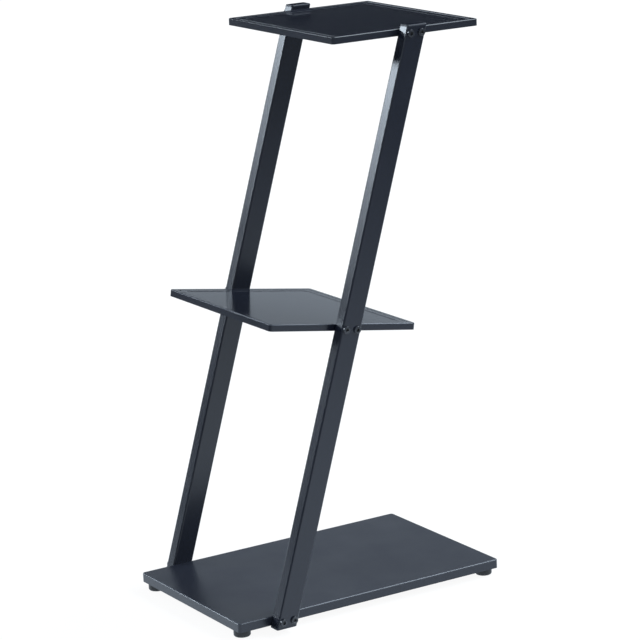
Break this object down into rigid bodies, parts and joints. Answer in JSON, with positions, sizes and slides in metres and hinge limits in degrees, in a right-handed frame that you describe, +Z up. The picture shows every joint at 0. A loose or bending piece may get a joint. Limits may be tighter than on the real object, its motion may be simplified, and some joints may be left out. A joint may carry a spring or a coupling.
{
  "type": "side table",
  "caption": "Tall side table of folded sheet steel: a wide base tray, a tilted shelf and a small top bolted between leaning tube posts, on levelling feet.",
  "frame": {"origin": "on the floor, below the middle of the base tray", "axes": "+Z up, +X along the base tray towards the side that the posts lean to, front towards -Y"},
  "size_m": [0.4, 0.2952, 0.75],
  "materials": {
    "powder_coat": "semi-gloss dark blue-grey powder coat with a fine orange peel",
    "black_screw": "black coated steel flat-headed socket screw",
    "zinc_stud": "zinc plated steel thread",
    "foot_plastic": "moulded black plastic"
  },
  "bodies": {
    "table_frame": {"base_tray": "powder_coat", "middle_shelf": "powder_coat", "top_shelf": "powder_coat", "front_post": "powder_coat", "rear_post": "powder_coat", "front_post_bottom_cap": "powder_coat", "front_post_top_cap": "powder_coat", "rear_post_bottom_cap": "powder_coat", "rear_post_top_cap": "powder_coat", "front_base_screws": "black_screw", "rear_base_screws": "black_screw", "front_middle_screws": "black_screw", "rear_middle_screws": "black_screw", "front_top_screws": "black_screw", "rear_top_screws": "black_screw", "front_base_nut_strip": "powder_coat", "rear_base_nut_strip": "powder_coat", "front_middle_nut_strip": "powder_coat", "rear_middle_nut_strip": "powder_coat", "front_top_nut_strip": "powder_coat", "rear_top_nut_strip": "powder_coat", "foot_weld_nuts": "powder_coat"},
    "front_left_foot": {"front_left_foot_pad": "foot_plastic", "front_left_foot_stud": "zinc_stud"},
    "front_right_foot": {"front_right_foot_pad": "foot_plastic", "front_right_foot_stud": "zinc_stud"},
    "rear_left_foot": {"rear_left_foot_pad": "foot_plastic", "rear_left_foot_stud": "zinc_stud"},
    "rear_right_foot": {"rear_right_foot_pad": "foot_plastic", "rear_right_foot_stud": "zinc_stud"}
  },
  "joints": [
    {"name": "front_left_foot_level", "type": "slide", "parent": "table_frame", "child": "front_left_foot", "axis": [0, 0, -1], "range_m": [0, 0.003]},
    {"name": "front_right_foot_level", "type": "slide", "parent": "table_frame", "child": "front_right_foot", "axis": [0, 0, -1], "range_m": [0, 0.003]},
    {"name": "rear_left_foot_level", "type": "slide", "parent": "table_frame", "child": "rear_left_foot", "axis": [0, 0, -1], "range_m": [0, 0.003]},
    {"name": "rear_right_foot_level", "type": "slide", "parent": "table_frame", "child": "rear_right_foot", "axis": [0, 0, -1], "range_m": [0, 0.003]}
  ]
}
